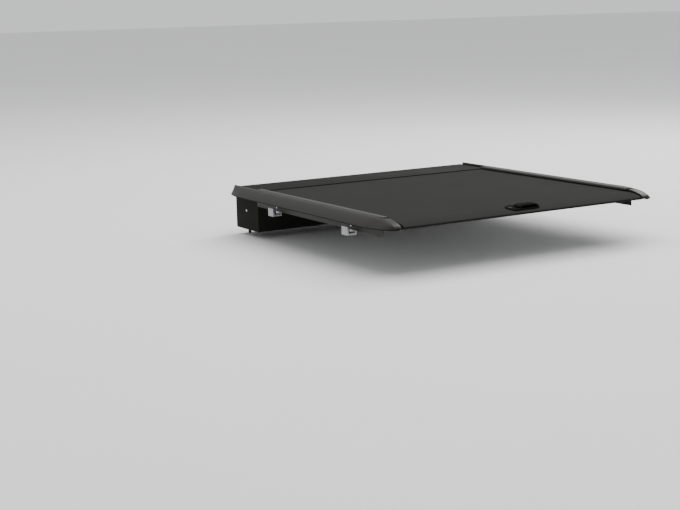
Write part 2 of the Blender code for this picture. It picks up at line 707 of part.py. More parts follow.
def make_canister_tray():
    """Floor, front wall and rear wall. The rear wall stops low, which leaves the curtain's mouth."""
    top = LID_TOP - LID_THICK - GAP
    front = LID_FRONT_Y - LID_THICK - GAP
    wall = TRAY_BOTTOM + TRAY_WALL + GAP
    floor = box("canister_floor", (-TRAY_HALF, TRAY_REAR_Y, TRAY_BOTTOM),
                (TRAY_HALF, front, TRAY_BOTTOM + TRAY_WALL), COATED)
    box("canister_front_wall", (-TRAY_HALF, front - TRAY_WALL, wall), (TRAY_HALF, front, top), COATED)
    box("canister_rear_wall", (-TRAY_HALF, TRAY_REAR_Y, wall),
        (TRAY_HALF, TRAY_REAR_Y + TRAY_WALL, SHELF_TOP), COATED)
    for side, sign in SIDES:
        drain = cylinder(f"drain_hole_{side}", (sign * DRAIN[0], DRAIN[1], TRAY_BOTTOM), 0.006, 0.02,
                         (0, 0, 1), COATED, CUTTERS)
        combine(floor, drain, "DIFFERENCE")
        height = TRAY_BOTTOM - GAP
        profile = [(0.0060, height), (0.0140, height), (0.0140, height - 0.003), (0.0080, height - 0.003),
                   (0.0080, height - 0.035), (0.0060, height - 0.035)]
        turned(f"drain_spigot_{side}", profile, (sign * DRAIN[0], DRAIN[1], 0), (0, 0, 1), NYLON, 24)


def make_canister_end(side, sign):
    xs = sorted((sign * END_PLATE_INNER, sign * END_PLATE_OUTER))
    plate = box(f"canister_end_{side}", (xs[0], TRAY_REAR_Y, TRAY_BOTTOM),
                (xs[1], LID_FRONT_Y - LID_THICK - GAP, LID_TOP - LID_THICK - GAP), COATED)
    hole = cylinder(f"axle_hole_{side}", (sign * END_PLATE_OUTER, ROLLER_Y, ROLLER_Z), AXLE_RADIUS + GAP,
                    0.05, (1, 0, 0), COATED, CUTTERS)
    combine(plate, hole, "DIFFERENCE")


def make_roller():
    """The tube and its two bearings turn about a fixed axle, driven by a torsion spring."""
    centre = (0, ROLLER_Y, ROLLER_Z)
    bore = TUBE_RADIUS - TUBE_WALL
    profile = [(TUBE_RADIUS, TUBE_HALF), (TUBE_RADIUS, -TUBE_HALF), (bore, -TUBE_HALF), (bore, TUBE_HALF)]
    turned("roller_tube", profile, centre, (1, 0, 0), ALUMINIUM, 48)
    cylinder("roller_axle", centre, AXLE_RADIUS, 2 * END_PLATE_OUTER, (1, 0, 0), STEEL)
    hub = AXLE_RADIUS + GAP
    for side, sign in SIDES:
        inner, outer = sorted((sign * 0.670, sign * (TUBE_HALF - 0.001)))
        profile = [(bore - GAP, outer), (bore - GAP, inner), (hub, inner), (hub, outer)]
        turned(f"roller_bearing_{side}", profile, centre, (1, 0, 0), NYLON)
    spring_start = -0.668
    spring_length = 0.360
    wire = 0.004
    coil("lift_spring", (spring_start, ROLLER_Y, ROLLER_Z), spring_length, 0.0150, wire, 14, STEEL)
    near = spring_start + spring_length + wire
    profile = [(0.0200, near + 0.020), (0.0200, near), (hub, near), (hub, near + 0.020)]
    turned("spring_anchor", profile, centre, (1, 0, 0), STEEL)


def build():
    make_canister_lid()
    make_canister_tray()
    make_roller()
    make_curtain_leader()
    for side, sign in SIDES:
        make_canister_end(side, sign)
        make_guide_rail(side, sign)
        make_slide_strip(side, sign)
        make_bed_cap(side, sign)
        make_rear_end_cap(side, sign)
        make_front_corner_cap(side, sign)
        make_cap_gasket(side, sign)
        for place, y in CLAMP_YS:
            make_rail_clamp(side, sign, place, y)
        make_latch_rod(side, sign)
        make_latch_spring(side, sign)
    for index in range(PANELS):
        make_slat_panel(index)
    make_vinyl_skin()
    make_tail_bar()
    make_tail_seal()
    make_handle()


clear_scene()
PARTS = make_collection("tonneau_cover")
CUTTERS = make_collection("cutters")
HANDLE_FRAME = make_handle_frame()
build()
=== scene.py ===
"""Looks for the roller tonneau cover: finer meshes, procedural materials, camera, floor and lights.

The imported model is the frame. Lengths are metres in its frame: +X to the truck's right, +Y forward to
the cab, +Z up, origin at the middle of the cover on the plane of the bed rails.
"""

import json
import math

import bmesh
import bpy
from mathutils import Matrix, Vector

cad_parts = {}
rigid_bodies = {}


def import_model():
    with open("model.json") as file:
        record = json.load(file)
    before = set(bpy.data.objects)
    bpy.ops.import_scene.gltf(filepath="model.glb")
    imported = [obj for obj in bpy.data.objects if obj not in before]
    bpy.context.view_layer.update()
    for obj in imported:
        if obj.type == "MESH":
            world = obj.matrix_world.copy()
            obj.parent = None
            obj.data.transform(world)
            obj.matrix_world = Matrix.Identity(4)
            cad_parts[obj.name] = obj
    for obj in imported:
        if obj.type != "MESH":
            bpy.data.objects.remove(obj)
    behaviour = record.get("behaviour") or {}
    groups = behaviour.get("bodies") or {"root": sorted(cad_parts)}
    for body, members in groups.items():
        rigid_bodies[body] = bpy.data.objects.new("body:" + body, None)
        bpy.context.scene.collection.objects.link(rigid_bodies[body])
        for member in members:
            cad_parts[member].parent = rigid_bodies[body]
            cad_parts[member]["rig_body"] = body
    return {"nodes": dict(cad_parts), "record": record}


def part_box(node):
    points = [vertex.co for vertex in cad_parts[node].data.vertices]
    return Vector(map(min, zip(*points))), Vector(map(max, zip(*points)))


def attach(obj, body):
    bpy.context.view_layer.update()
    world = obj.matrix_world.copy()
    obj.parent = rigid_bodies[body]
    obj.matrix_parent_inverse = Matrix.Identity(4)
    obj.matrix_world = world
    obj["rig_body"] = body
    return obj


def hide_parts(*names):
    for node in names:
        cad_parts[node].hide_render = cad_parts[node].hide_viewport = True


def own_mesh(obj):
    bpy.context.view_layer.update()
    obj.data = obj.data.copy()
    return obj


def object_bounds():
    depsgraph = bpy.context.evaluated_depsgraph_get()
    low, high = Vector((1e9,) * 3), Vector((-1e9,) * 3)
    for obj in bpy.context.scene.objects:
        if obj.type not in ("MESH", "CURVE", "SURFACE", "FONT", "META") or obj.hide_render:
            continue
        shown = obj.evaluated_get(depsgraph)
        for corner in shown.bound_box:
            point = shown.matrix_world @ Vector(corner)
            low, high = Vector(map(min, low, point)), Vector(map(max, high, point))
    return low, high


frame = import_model()
CAD_LOW, CAD_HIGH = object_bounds()
ROOT = "canister_and_rails"
SIDES = (("left", -1), ("right", 1))
GAP = 0.0003
SHARP_ANGLE = math.radians(35)  # an edge that turns more than this is shaded sharp
BEVEL_ANGLE = math.radians(40)

# Heights and edges that the frame gives
SKIN_LOW, SKIN_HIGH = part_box("vinyl_skin")
RAIL_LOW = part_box("guide_rail_right")[0]
CAP_LOW, CAP_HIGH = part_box("bed_cap_right")
END_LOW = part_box("rear_end_cap_right")[0]
GASKET_LOW, GASKET_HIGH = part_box("cap_gasket_right")
LID_LOW, LID_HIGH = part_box("canister_lid")
COVER_Z = SKIN_HIGH.z
CAP_INNER = CAP_LOW.x
CAP_OUTER = CAP_HIGH.x
LEDGE_INNER = END_LOW.x
CAP_END_Y = END_LOW.y
TAIL_Y = GASKET_LOW.y
FRONT_TIP_Y = GASKET_HIGH.y
FRONT_CURVE_Y = CAP_HIGH.y
CAP_FALL_START_Y = CAP_LOW.y
CURVE_START_Y = RAIL_LOW.y

# Shape of the caps and of the fall at the tail
CURVE_LENGTH = CURVE_START_Y - TAIL_Y
CURVE_DROP = 0.0240
CAP_FALL_LENGTH = CAP_FALL_START_Y - TAIL_Y
CAP_FALL_DROP = 0.0400
CORNER_INNER = 0.6980           # of the end cap behind the rail
CORNER_STEPS = 36
LEDGE_THICK = 0.0030
LEDGE_ROOT_X = 0.7000           # inside the cap
LIP_WALL = 0.0010
LIP_SINK = 0.0015               # below the cover's surface
CORNER_GAP = 0.0010             # between the rail's end and the corner
FOOT_SINK = 0.0080              # the cap's outer edge laps down over the bed side
FOOT_DROP = 0.0040              # and a little further at the tail
CORNER_START_Y = -0.6000
TAIL_TIP_X = 0.7200
FRONT_TIP_X = 0.7385
RIDGE_X = 0.7345
RIDGE_Z = COVER_Z + 0.0160
CREASE_SHARE = 0.30             # of the width from ridge to outer edge
UPPER_FALL = 0.0065             # ridge down to crease
EDGE_ROLL = 0.0035
ROLL_SHARE = 0.4                # of the cap's height, where the cap is low
ROLL_DROP = 1.3                 # centre of the rolled edge below the ridge, in radii
TIP_WIDTH = 0.0040
CAP_WALL = 0.0030
CAP_TOE = 0.0045                # width of the shell's lower edge
GASKET_THICK = 0.0037
GASKET_WIDTH = 0.0120
GASKET_PROUD = 0.0015           # beyond the cap's outer edge
CAP_FOOT_Z = 0.0035
FLANGE_CLEAR_X = 0.7660         # the end cap steps over the rail's seat flange
FLANGE_CLEAR_Z = 0.0040

# Lid
LID_THICK = 0.0030
LID_FOLD = 0.0030
LID_ENDS = ((0.0, 0.0006), (0.00024, 0.0002), (0.0008, 0.0))    # distance from the end, inset there

# Curtain
SLATS = 30
GROOVE_WIDTH = 0.0030
GROOVE_DEPTH = 0.00008
GROOVE_PROFILE = ((-1, 0), (-0.5, 0.5), (0, 1), (0.5, 0.5), (1, 0))     # half widths, share of depth

# Handle, in its own frame on the bar's slope
HANDLE_Y = -0.7160
HANDLE_HALF_LENGTH = 0.0880
HANDLE_HALF_WIDTH = 0.0350
BEZEL_EDGE = 0.0030
BEZEL_TOP = 0.0040
BEZEL_ROLL = 0.0030
SEAT_MARGIN = 0.0100            # of the curved seat under the bezel, beyond the housing
HOUSING_BOTTOM = -0.0210
POCKET_FLOOR = -0.0180
POCKET_LEFT = -0.0200
POCKET_RIGHT = 0.0670
POCKET_REAR = -0.0330
POCKET_FRONT = 0.0100
POCKET_CORNER = 0.0080
LEVER_X = 0.0235
LEVER_HALF_LENGTH = 0.0625
LEVER_HALF_WIDTH = 0.0340
LEVER_TOP = 0.0120
LEVER_EDGE = 0.0008             # bevel along its edges
LEVER_WALL = 0.0022             # upright part of its side
LEVER_SHOULDER = 0.0060         # the rounding above that, in plan
LEVER_CROWN = 0.0008
LEVER_RINGS = (0.4, 0.7, 0.95)  # of the way from the shoulder to the middle
NOTCH_FRONT = -0.0100
NOTCH_CORNER = 0.0060
LOCK_X = -0.0700
LOCK_RADIUS = 0.0085
LOCK_TOP = 0.0055
LOCK_DEPTH = 0.0180
LOCK_SIDES = 48
LOCK_PROFILE = (                # inwards from the barrel's side, down from its top
    (0.0, LOCK_DEPTH),
    (0.0, 0.0008),
    (0.0003, 0.0002),
    (0.0008, 0.0),
    (0.0018, 0.0),
    (0.0022, 0.0006),
)
KEYWAY_HALF_WIDTH = 0.0007
KEYWAY_HALF_LENGTH = 0.0042
KEYWAY_DEPTH = 0.0040
KEYWAY_CORNER = 0.0005
CUT_REACH = 0.05                # how far a cutting body runs past what it cuts

# Hardware: the width of the bevel, by the start of the node's name
EDGE_WIDTHS = {
    "guide_rail": 0.0007,
    "tail_bar": 0.0006,
    "tail_seal": 0.0009,
    "lid_front_seal": 0.0010,
    "mouth_wiper": 0.0002,
    "rail_clamp": 0.0006,
    "clamp_bolt": 0.0003,
    "canister_end": 0.0005,
    "canister_floor": 0.0004,
    "canister_front_wall": 0.0004,
    "canister_rear_wall": 0.0004,
    "roller_axle": 0.0004,
    "roller_bearing": 0.0004,
    "roller_tube": 0.0004,
    "spring_anchor": 0.0004,
    "slide_strip": 0.0004,
    "drain_spigot": 0.0003,
    "latch_cam": 0.0004,
    "latch_rod": 0.0004,
}
MERGE_DISTANCE = 0.000002
FLAT_ANGLE = math.radians(0.5)
UPWARD = 0.2                    # least rise of the normal of a face on the tail bar's upper side

# Camera, placed as the photo's perspective asks, and floor
CAMERA_PLACE = (-3.9105, -5.6000, 0.9677)
CAMERA_YAW = 30.96
CAMERA_PITCH = 10.569
CAMERA_ROLL = -1.345
CAMERA_LENS = 72.31
CAMERA_SENSOR = 36.0
FLOOR_REACH = 60.0
FLOOR_GAP = 0.0005

# Range of the noise that a material's colour and roughness are spread over
NOISE_LOW = 0.3
NOISE_HIGH = 0.7


# Meshes

def finish_mesh(name, bm, materials):
    """A smooth-shaded object from the mesh, with its sharp edges kept."""
    bmesh.ops.recalc_face_normals(bm, faces=bm.faces)
    mesh = bpy.data.meshes.new(name)
    bm.to_mesh(mesh)
    bm.free()
    for item in materials:
        mesh.materials.append(item)
    mesh.shade_smooth()
    mesh.set_sharp_from_angle(angle=SHARP_ANGLE)
    piece = bpy.data.objects.new(name, mesh)
    bpy.context.scene.collection.objects.link(piece)
    return piece


def stand_for(piece, body, slot, *nodes):
    """The piece rides on the body and stands for the CAD nodes."""
    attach(piece, body)
    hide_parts(*nodes)
    return piece


def loft(sections):
    """A closed skin through rings of equal point counts, with flat ends."""
    bm = bmesh.new()
    rings = [[bm.verts.new(point) for point in section] for section in sections]
    count = len(rings[0])
    for ring, following in zip(rings, rings[1:]):
        for i in range(count):
            j = (i + 1) % count
            bm.faces.new((ring[i], ring[j], following[j], following[i]))
    for ring in (rings[0], rings[-1]):
        edges = [bm.edges.get((ring[i], ring[(i + 1) % count])) for i in range(count)]
        bmesh.ops.triangle_fill(bm, edges=edges, use_beauty=True)
    return bm


def arc(centre, radius, start, end, steps):
    """Points on an arc between two angles in degrees."""
    points = []
    for i in range(steps + 1):
        angle = math.radians(start + (end - start) * i / steps)
        points.append((centre[0] + radius * math.cos(angle), centre[1] + radius * math.sin(angle)))
    return points


def rounded(points, radius, steps):
    """The closed outline with each corner rounded, by at most the radius."""
    most = 0.45                 # share of an edge that one corner may take
    result = []
    count = len(points)
    for i, point in enumerate(points):
        here = Vector(point)
        before = Vector(points[i - 1]) - here
        after = Vector(points[(i + 1) % count]) - here
        reach = min(radius, before.length * most, after.length * most)
        first = here + before.normalized() * reach
        last = here + after.normalized() * reach
        for k in range(steps + 1):
            t = k / steps
            mixed = first * (1 - t) ** 2 + here * 2 * t * (1 - t) + last * t ** 2
            result.append(tuple(mixed))
    return result


def stadium(cx, cy, half_length, half_width, steps=28):
    """Outline of a slot with round ends, lengthways on X."""
    reach = half_length - half_width
    right = arc((cx + reach, cy), half_width, -90, 90, steps)
    left = arc((cx - reach, cy), half_width, 90, 270, steps)
    return right + left


def apply_boolean(piece, other, operation):
    """Cuts or joins the other object, which is then removed."""
    modifier = piece.modifiers.new(operation.lower(), "BOOLEAN")
    modifier.operation = operation
    modifier.solver = "EXACT"
    modifier.object = other
    bpy.context.view_layer.update()
    graph = bpy.context.evaluated_depsgraph_get()
    mesh = bpy.data.meshes.new_from_object(piece.evaluated_get(graph))
    piece.modifiers.clear()
    piece.data = mesh
    bpy.data.objects.remove(other)


# Materials

def colour(value):
    return (value[0], value[1], value[2], 1.0)


def new_material(name, base, roughness, metallic=0.0, specular=0.5):
    item = bpy.data.materials.new(name)
    item.use_nodes = True
    shader = item.node_tree.nodes["Principled BSDF"]
    shader.inputs["Base Color"].default_value = colour(base)
    shader.inputs["Roughness"].default_value = roughness
    shader.inputs["Metallic"].default_value = metallic
    shader.inputs["Specular IOR Level"].default_value = specular
    return item


def add_node(item, kind, **values):
    node = item.node_tree.nodes.new(kind)
    for key, value in values.items():
        node.inputs[key.replace("_", " ")].default_value = value
    return node


def object_coordinates(item, stretch=(1, 1, 1)):
    place = add_node(item, "ShaderNodeTexCoord")
    mapping = add_node(item, "ShaderNodeMapping", Scale=stretch)
    item.node_tree.links.new(place.outputs["Object"], mapping.inputs["Vector"])
    return mapping.outputs["Vector"]


def add_variation(item, low, high, scale, roughness_range=None, stretch=(1, 1, 1)):
    """Slow change of colour, and of roughness, over the surface."""
    links = item.node_tree.links
    shader = item.node_tree.nodes["Principled BSDF"]
    noise = add_node(item, "ShaderNodeTexNoise", Scale=scale, Detail=5.0, Roughness=0.6)
    links.new(object_coordinates(item, stretch), noise.inputs["Vector"])
    ramp = item.node_tree.nodes.new("ShaderNodeValToRGB")
    ramp.color_ramp.elements[0].position = NOISE_LOW
    ramp.color_ramp.elements[0].color = colour(low)
    ramp.color_ramp.elements[1].position = NOISE_HIGH
    ramp.color_ramp.elements[1].color = colour(high)
    links.new(noise.outputs["Fac"], ramp.inputs["Fac"])
    links.new(ramp.outputs["Color"], shader.inputs["Base Color"])
    if roughness_range:
        spread = item.node_tree.nodes.new("ShaderNodeMapRange")
        spread.inputs["From Min"].default_value = NOISE_LOW
        spread.inputs["From Max"].default_value = NOISE_HIGH
        spread.inputs["To Min"].default_value = roughness_range[0]
        spread.inputs["To Max"].default_value = roughness_range[1]
        links.new(noise.outputs["Fac"], spread.inputs["Value"])
        links.new(spread.outputs["Result"], shader.inputs["Roughness"])


def add_bump(item, texture, output, scale, strength, depth, stretch=(1, 1, 1), **values):
    """Fine relief from a texture, on top of any relief that is there already."""
    links = item.node_tree.links
    shader = item.node_tree.nodes["Principled BSDF"]
    node = add_node(item, texture, Scale=scale, **values)
    links.new(object_coordinates(item, stretch), node.inputs["Vector"])
    bump = add_node(item, "ShaderNodeBump", Strength=strength, Distance=depth)
    links.new(node.outputs[output], bump.inputs["Height"])
    normal = shader.inputs["Normal"]
    if normal.is_linked:
        links.new(normal.links[0].from_socket, bump.inputs["Normal"])
    links.new(bump.outputs["Normal"], normal)


def make_materials():
    """One procedural material for each slot of the record, and for the rails a glossier copy of the
    coating whose lighter colour is painted light.
    """
    made = {}

    vinyl = new_material("grained_vinyl", (0.030, 0.030, 0.028), 0.86, specular=0.008)
    add_variation(vinyl, (0.0285, 0.0285, 0.0265), (0.0315, 0.0315, 0.0295), 3.0, (0.84, 0.90))
    add_bump(vinyl, "ShaderNodeTexVoronoi", "Distance", 950.0, 0.35, 0.00012, Randomness=1.0)
    add_bump(vinyl, "ShaderNodeTexNoise", "Fac", 2600.0, 0.25, 0.00006, Detail=3.0)
    made["cover_vinyl"] = vinyl

    coated = new_material("powder_coat", (0.018, 0.018, 0.0165), 0.62, specular=0.018)
    add_variation(coated, (0.0170, 0.0170, 0.0155), (0.0190, 0.0190, 0.0175), 6.0, (0.56, 0.68))
    add_bump(coated, "ShaderNodeTexNoise", "Fac", 1400.0, 0.35, 0.00008, Detail=4.0)
    made["coated_aluminium"] = coated

    # Painted light: the rails' coating is made lighter for the light on their tops; its lower roughness
    # and higher specular are a real gloss.
    rail = new_material("lit_rail_coat", (0.030, 0.029, 0.026), 0.40, specular=0.12)
    add_variation(rail, (0.028, 0.027, 0.024), (0.032, 0.031, 0.028), 6.0, (0.36, 0.44), (1, 0.2, 1))
    add_bump(rail, "ShaderNodeTexNoise", "Fac", 1400.0, 0.3, 0.00006, Detail=4.0)
    made["lit_rail_coat"] = rail

    slat = new_material("mill_aluminium", (0.52, 0.52, 0.53), 0.38, 1.0)
    add_variation(slat, (0.47, 0.47, 0.48), (0.58, 0.58, 0.59), 30.0, (0.30, 0.46), (0.05, 1, 1))
    add_bump(slat, "ShaderNodeTexNoise", "Fac", 900.0, 0.2, 0.00004, (0.02, 1, 1), Detail=2.0)
    made["slat_aluminium"] = slat

    cap = new_material("moulded_grain", (0.0165, 0.0157, 0.0133), 0.37, specular=0.10)
    add_variation(cap, (0.0152, 0.0145, 0.0122), (0.0178, 0.0170, 0.0145), 9.0, (0.34, 0.41))
    add_bump(cap, "ShaderNodeTexVoronoi", "Distance", 620.0, 0.45, 0.00016, Randomness=1.0)
    add_bump(cap, "ShaderNodeTexNoise", "Fac", 2200.0, 0.3, 0.00006, Detail=3.0)
    made["cap_plastic"] = cap

    handle = new_material("satin_black", (0.004, 0.004, 0.004), 0.60, specular=0.008)
    add_variation(handle, (0.0035, 0.0035, 0.0035), (0.0045, 0.0045, 0.0045), 25.0, (0.54, 0.66))
    add_bump(handle, "ShaderNodeTexNoise", "Fac", 1800.0, 0.3, 0.00006, Detail=3.0)
    made["handle_plastic"] = handle

    rubber = new_material("black_rubber", (0.006, 0.006, 0.006), 0.80, specular=0.15)
    add_variation(rubber, (0.005, 0.005, 0.005), (0.008, 0.008, 0.008), 18.0, (0.74, 0.88))
    add_bump(rubber, "ShaderNodeTexNoise", "Fac", 900.0, 0.3, 0.00008, Detail=4.0)
    made["seal_rubber"] = rubber

    zinc = new_material("zinc_plate", (0.55, 0.55, 0.53), 0.36, 1.0)
    add_variation(zinc, (0.48, 0.48, 0.46), (0.62, 0.62, 0.60), 60.0, (0.28, 0.46))
    add_bump(zinc, "ShaderNodeTexNoise", "Fac", 1500.0, 0.2, 0.00004, Detail=3.0)
    made["zinc_steel"] = zinc

    lock = new_material("dull_chrome", (0.030, 0.030, 0.030), 0.55, 1.0)
    add_variation(lock, (0.026, 0.026, 0.026), (0.034, 0.034, 0.034), 120.0, (0.50, 0.60))
    add_bump(lock, "ShaderNodeTexNoise", "Fac", 3000.0, 0.15, 0.00003, Detail=2.0)
    made["lock_metal"] = lock

    clamp = new_material("satin_aluminium", (0.33, 0.33, 0.34), 0.42, 1.0)
    add_variation(clamp, (0.29, 0.29, 0.30), (0.37, 0.37, 0.38), 40.0, (0.34, 0.50), (1, 0.1, 1))
    add_bump(clamp, "ShaderNodeTexNoise", "Fac", 1100.0, 0.2, 0.00004, (1, 0.05, 1), Detail=2.0)
    made["clamp_aluminium"] = clamp

    nylon = new_material("black_nylon", (0.020, 0.020, 0.020), 0.50, specular=0.4)
    add_variation(nylon, (0.017, 0.017, 0.017), (0.024, 0.024, 0.024), 30.0, (0.44, 0.58))
    add_bump(nylon, "ShaderNodeTexNoise", "Fac", 1300.0, 0.2, 0.00005, Detail=3.0)
    made["slide_nylon"] = nylon
    return made


MATERIALS = make_materials()


# The cover's shape

def tail_share(y):
    """How far y is along the tail curve, from 0 to 1."""
    return min(1.0, max(0.0, (CURVE_START_Y - y) / CURVE_LENGTH))


def front_share(y):
    """The same for the front corner."""
    return min(1.0, max(0.0, (y - FRONT_CURVE_Y) / (FRONT_TIP_Y - FRONT_CURVE_Y)))


def tail_fall(y):
    """How far the cover's surface has dropped at y, behind the start of the tail curve."""
    return CURVE_DROP * (1 - math.sqrt(1 - tail_share(y) ** 2))


def cap_fall(y):
    """How far the ridge of the bed cap has dropped at y."""
    share = min(1.0, max(0.0, (CAP_FALL_START_Y - y) / CAP_FALL_LENGTH))
    return CAP_FALL_DROP * (1 - math.sqrt(1 - share ** 2))


def corner_share(y):
    """How far y is into the rounding of the tail's corner in plan, from 0 to 1."""
    return min(1.0, max(0.0, (CORNER_START_Y - y) / (CORNER_START_Y - TAIL_Y)))


def gasket_height(y):
    """Underside of the rubber below the cap's outer edge."""
    return -FOOT_SINK - FOOT_DROP * corner_share(y) ** 2


def foot_height(y):
    """Lower end of the cap's outer edge, just above the rubber."""
    return gasket_height(y) + GASKET_THICK + GAP


def cap_edge(y):
    """Outer edge of the cap in plan: straight, with an elliptic corner at each end."""
    share = max(corner_share(y), front_share(y))
    narrow = TAIL_TIP_X if y < CORNER_START_Y else FRONT_TIP_X
    return narrow + (CAP_OUTER - narrow) * math.sqrt(1 - share ** 2)


def cap_curve(y, inner=CAP_INNER, inset=0.0):
    """Top of the cap from its rolled inner edge to its outer foot, as (x, z) points.

    It falls ever faster from the ridge to the crease, and runs on almost straight to the foot.
    """
    steps = 16
    edge = cap_edge(y) - inset
    foot = foot_height(y)
    ridge = RIDGE_Z - cap_fall(y) - inset
    ridge_x = min(RIDGE_X, edge - TIP_WIDTH)
    crease_x = ridge_x + (edge - ridge_x) * CREASE_SHARE
    crease_z = ridge - UPPER_FALL * (edge - ridge_x) / (CAP_OUTER - RIDGE_X)
    roll = min(EDGE_ROLL, (ridge - foot) * ROLL_SHARE)
    points = arc((inner + inset + roll, ridge - ROLL_DROP * roll), roll, 180, 90, 6)
    for i in range(steps + 1):
        share = i / steps
        drop = (ridge - crease_z) * share ** 1.5
        points.append((ridge_x + (crease_x - ridge_x) * share, ridge - drop))
    for i in range(1, steps + 1):
        share = i / steps
        drop = (crease_z - foot) * (0.8 * share + 0.2 * share ** 2)
        points.append((crease_x + (edge - crease_x) * share, crease_z - drop))
    return points


def sine_stations(start, end, steps):
    """Positions that crowd towards the end, where the outline turns fastest."""
    return [start + (end - start) * math.sin(math.pi / 2 * i / steps) for i in range(steps + 1)]


def lengthways(loop, y, sign):
    """An (x, z) outline set across the cover at y, on one side of it."""
    return [(sign * x, y, z) for x, z in loop]


def make_bed_cap(side, sign):
    """The straight cap beside the rail, a shell with the same section all along."""
    outer = [(CAP_INNER, CAP_FOOT_Z)] + cap_curve(0.0)
    inner = [(CAP_INNER + CAP_WALL, CAP_FOOT_Z)] + cap_curve(0.0, inset=CAP_WALL)
    inner[-1] = (outer[-1][0] - CAP_TOE, outer[-1][1])
    loop = outer + inner[::-1]
    stations = [CAP_FALL_START_Y, 0.0, FRONT_CURVE_Y]
    sections = [lengthways(loop, y, sign) for y in stations]
    cap = finish_mesh(f"bed_cap_{side}_shell", loft(sections), [MATERIALS["cap_plastic"]])
    stand_for(cap, ROOT, "cap_plastic", f"bed_cap_{side}")


def make_rear_end_cap(side, sign):
    """The cap's fall beside the rail, and the corner behind the rail, whose sunk ledge has a lip."""
    steps = 10
    reach = CAP_FALL_START_Y - GAP - CURVE_START_Y
    beside = [CAP_FALL_START_Y - GAP - reach * i / steps for i in range(steps + 1)]
    corner = sine_stations(CURVE_START_Y - CORNER_GAP, CAP_END_Y, CORNER_STEPS)
    sections = []
    for y in beside + corner:
        inner = CAP_INNER if y in beside else CORNER_INNER
        foot = foot_height(y)
        low = FLANGE_CLEAR_Z if y in beside else foot
        step_x = min(FLANGE_CLEAR_X, cap_edge(y) - CAP_WALL)
        under = [(step_x, foot), (step_x, low), (inner, low)]
        sections.append(lengthways(under + cap_curve(y, inner), y, sign))
    cap = finish_mesh(f"rear_end_cap_{side}_shell", loft(sections), [MATERIALS["cap_plastic"]])
    sections = []
    for y in corner:
        foot = foot_height(y)
        floor = foot + LEDGE_THICK
        lip = max(floor + GAP, COVER_Z - tail_fall(y) - LIP_SINK)
        wall = LEDGE_INNER + LIP_WALL
        loop = [
            (LEDGE_INNER, foot),
            (LEDGE_INNER, lip),
            (wall, lip),
            (wall, floor),
            (LEDGE_ROOT_X, floor),
            (LEDGE_ROOT_X, foot),
        ]
        sections.append(lengthways(loop, y, sign))
    ledge = finish_mesh("ledge", loft(sections), [MATERIALS["cap_plastic"]])
    apply_boolean(cap, ledge, "UNION")
    cap.data.set_sharp_from_angle(angle=SHARP_ANGLE)
    paint_ledge_shade(cap)
    stand_for(cap, ROOT, "cap_plastic", f"rear_end_cap_{side}")


def paint_ledge_shade(cap):
    """Painted shade: the ledge under the curtain's edge gets the dark rubber material, for the shadow in
    the gap beside it.
    """
    cap.data.materials.append(MATERIALS["seal_rubber"])
    painted_shade_index = len(cap.data.materials) - 1
    # painted shade: the ledge's faces take the rubber's dark material, though the ledge is cap plastic
    for face in cap.data.polygons:
        if abs(face.center.x) < CORNER_INNER:
            face.material_index = painted_shade_index


def make_front_corner_cap(side, sign):
    """The corner that turns in beside the canister, to a narrow tip at the cab."""
    sections = []
    for y in sine_stations(FRONT_CURVE_Y + GAP, FRONT_TIP_Y, CORNER_STEPS):
        sections.append(lengthways([(CAP_INNER, foot_height(y))] + cap_curve(y), y, sign))
    cap = finish_mesh(f"front_corner_cap_{side}_shell", loft(sections), [MATERIALS["cap_plastic"]])
    stand_for(cap, ROOT, "cap_plastic", f"front_corner_cap_{side}")


def make_cap_gasket(side, sign):
    """The rubber under the cap's outer edge, with a rounded bead outside."""
    steps = 30
    rear = sine_stations(CORNER_START_Y, TAIL_Y, steps)[::-1]
    front = sine_stations(FRONT_CURVE_Y, FRONT_TIP_Y, steps)
    sections = []
    for y in rear + front:
        outer = cap_edge(y) + GASKET_PROUD
        inner = outer - GASKET_WIDTH
        low = gasket_height(y)
        radius = GASKET_THICK / 2
        bead = arc((outer - radius, low + radius), radius, -90, 90, 10)
        sections.append(lengthways([(inner, low)] + bead + [(inner, low + GASKET_THICK)], y, sign))
    gasket = finish_mesh(f"cap_gasket_{side}_bead", loft(sections), [MATERIALS["seal_rubber"]])
    stand_for(gasket, ROOT, "seal_rubber", f"cap_gasket_{side}")


def make_canister_lid():
    """A folded lid with rounded edges and a front lip."""
    outline = [
        (LID_LOW.y, LID_HIGH.z - LID_THICK),
        (LID_HIGH.y - LID_THICK, LID_HIGH.z - LID_THICK),
        (LID_HIGH.y - LID_THICK, LID_LOW.z),
        (LID_HIGH.y, LID_LOW.z),
        (LID_HIGH.y, LID_HIGH.z),
        (LID_LOW.y, LID_HIGH.z),
    ]
    loop = rounded(outline, LID_FOLD, 6)
    centre = (LID_HIGH.z + LID_LOW.z) / 2
    stations = [(LID_LOW.x + step, inset) for step, inset in LID_ENDS]
    stations += [(LID_HIGH.x - step, inset) for step, inset in reversed(LID_ENDS)]
    sections = []
    for x, inset in stations:
        sections.append([(x, y, z - inset if z > centre else z + inset) for y, z in loop])
    lid = finish_mesh("canister_lid_folded", loft(sections), [MATERIALS["coated_aluminium"]])
    stand_for(lid, ROOT, "coated_aluminium", "canister_lid")


# The curtain's skin

